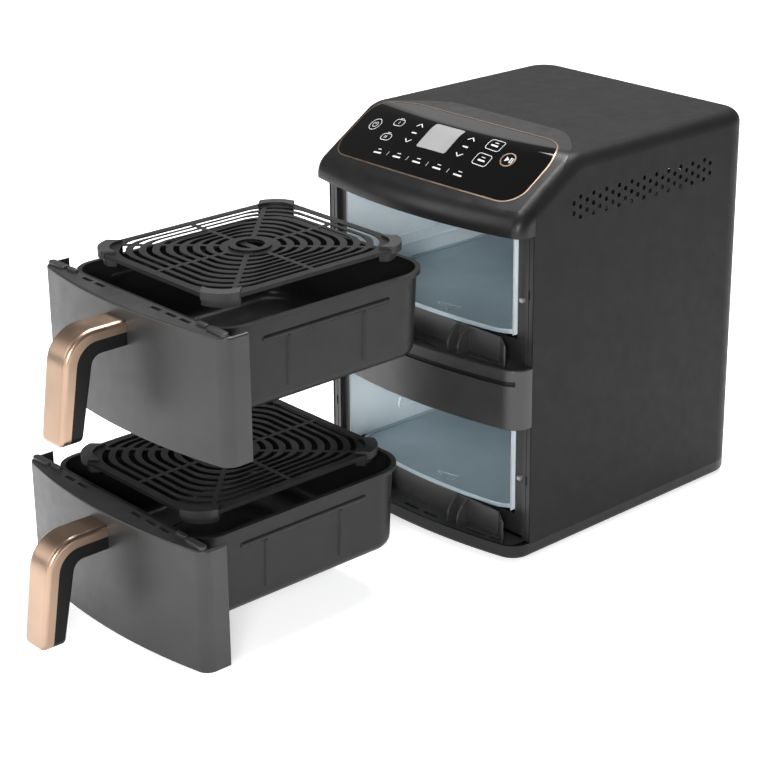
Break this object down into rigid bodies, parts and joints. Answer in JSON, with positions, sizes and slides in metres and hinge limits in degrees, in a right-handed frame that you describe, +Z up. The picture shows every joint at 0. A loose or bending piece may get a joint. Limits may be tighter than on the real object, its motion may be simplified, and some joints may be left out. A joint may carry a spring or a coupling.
{
  "type": "stacked air fryer",
  "caption": "Stacked countertop air fryer with sliding basket drawers, bent grip handles, lift-out crisper plates and a sloped touch control panel.",
  "frame": {"origin": "centre of the cabinet's footprint, on the surface it stands on", "axes": "+Z up, the front faces -Y and the drawers pull out along -Y, +X to the right seen from the front"},
  "size_m": [0.296, 0.7953, 0.4033],
  "materials": {
    "shell_charcoal": "fine matte texture",
    "rear_black": "matte",
    "frame_grey": "satin",
    "head_black": "satin",
    "base_dark": "satin",
    "foot_rubber": "matte",
    "liner_steel": "smooth, bluish",
    "guard_steel": "plain sheet",
    "screw_steel": "zinc plated",
    "heater_steel": "heat darkened",
    "fan_aluminium": "plain",
    "motor_steel": "laminated",
    "switch_black": "gloss",
    "plunger_white": "matte",
    "panel_gloss": "high gloss",
    "rose_gold": "satin rose gold",
    "board_green": "satin",
    "component_dark": "matte",
    "drawer_satin": "satin",
    "pan_coating": "matte non-stick coating",
    "plate_coating": "matte non-stick coating",
    "silicone": "matte"
  },
  "bodies": {
    "cabinet": {"base_tray": "base_dark", "board_components": "component_dark", "control_board": "board_green", "control_housing": "head_black", "control_panel": "panel_gloss", "cord_inlet": "rear_black", "display_module": "panel_gloss", "divider_band": "frame_grey", "divider_shelf": "guard_steel", "drawer_switches": "switch_black", "electronics_tray": "guard_steel", "front_bulkhead": "rear_black", "left_pillar": "frame_grey", "lower_deck": "rear_black", "lower_fan_chamber": "guard_steel", "lower_fan_guard": "guard_steel", "lower_floor_plate": "liner_steel", "lower_heating_element": "heater_steel", "lower_liner": "liner_steel", "lower_motor": "motor_steel", "motor_brackets": "guard_steel", "outer_shell": "shell_charcoal", "panel_trim_ring": "rose_gold", "power_board": "board_green", "rear_cover": "rear_black", "rear_screws": "screw_steel", "right_pillar": "frame_grey", "rubber_feet": "foot_rubber", "start_button_ring": "rose_gold", "temperature_probes": "screw_steel", "thermal_cutouts": "screw_steel", "upper_deck": "rear_black", "upper_fan_chamber": "guard_steel", "upper_fan_guard": "guard_steel", "upper_floor_plate": "liner_steel", "upper_heating_element": "heater_steel", "upper_liner": "liner_steel", "upper_motor": "motor_steel"},
    "lower_drawer": {"lower_drawer_front": "drawer_satin", "lower_pan": "pan_coating", "lower_pan_bracket": "guard_steel", "lower_handle_shell": "rose_gold", "lower_handle_core": "switch_black", "lower_handle_screws": "screw_steel"},
    "lower_plate": {"lower_crisper_plate": "plate_coating", "lower_corner_bumpers": "silicone"},
    "lower_fan": {"lower_convection_fan": "fan_aluminium", "lower_cooling_fan": "fan_aluminium"},
    "lower_plunger": {"lower_switch_plunger": "plunger_white"},
    "upper_drawer": {"upper_drawer_front": "drawer_satin", "upper_pan": "pan_coating", "upper_pan_bracket": "guard_steel", "upper_handle_shell": "rose_gold", "upper_handle_core": "switch_black", "upper_handle_screws": "screw_steel"},
    "upper_plate": {"upper_crisper_plate": "plate_coating", "upper_corner_bumpers": "silicone"},
    "upper_fan": {"upper_convection_fan": "fan_aluminium", "upper_cooling_fan": "fan_aluminium"},
    "upper_plunger": {"upper_switch_plunger": "plunger_white"}
  },
  "joints": [
    {"name": "lower_drawer_slide", "type": "slide", "parent": "cabinet", "child": "lower_drawer", "axis": [0, 1, 0], "range_m": [0, 0.364]},
    {"name": "lower_plate_lift", "type": "slide", "parent": "lower_drawer", "child": "lower_plate", "axis": [0, 0, -1], "range_m": [0, 0.083]},
    {"name": "lower_fan_spin", "type": "hinge", "parent": "cabinet", "child": "lower_fan", "pos_m": [0, 0.096, 0.094], "axis": [0, 1, 0], "continuous": true},
    {"name": "lower_switch_press", "type": "slide", "parent": "cabinet", "child": "lower_plunger", "axis": [0, 1, 0], "range_m": [0, 0.002], "stiffness_N_per_m": 300},
    {"name": "upper_drawer_slide", "type": "slide", "parent": "cabinet", "child": "upper_drawer", "axis": [0, 1, 0], "range_m": [0, 0.332]},
    {"name": "upper_plate_lift", "type": "slide", "parent": "upper_drawer", "child": "upper_plate", "axis": [0, 0, -1], "range_m": [0, 0.091]},
    {"name": "upper_fan_spin", "type": "hinge", "parent": "cabinet", "child": "upper_fan", "pos_m": [0, 0.096, 0.28], "axis": [0, 1, 0], "continuous": true},
    {"name": "upper_switch_press", "type": "slide", "parent": "cabinet", "child": "upper_plunger", "axis": [0, 1, 0], "range_m": [0, 0.002], "stiffness_N_per_m": 300}
  ],
  "couplings": [
    {"joint": "lower_plate_lift", "follows": "lower_drawer_slide", "ratio": 0.228},
    {"joint": "upper_plate_lift", "follows": "upper_drawer_slide", "ratio": 0.274}
  ]
}
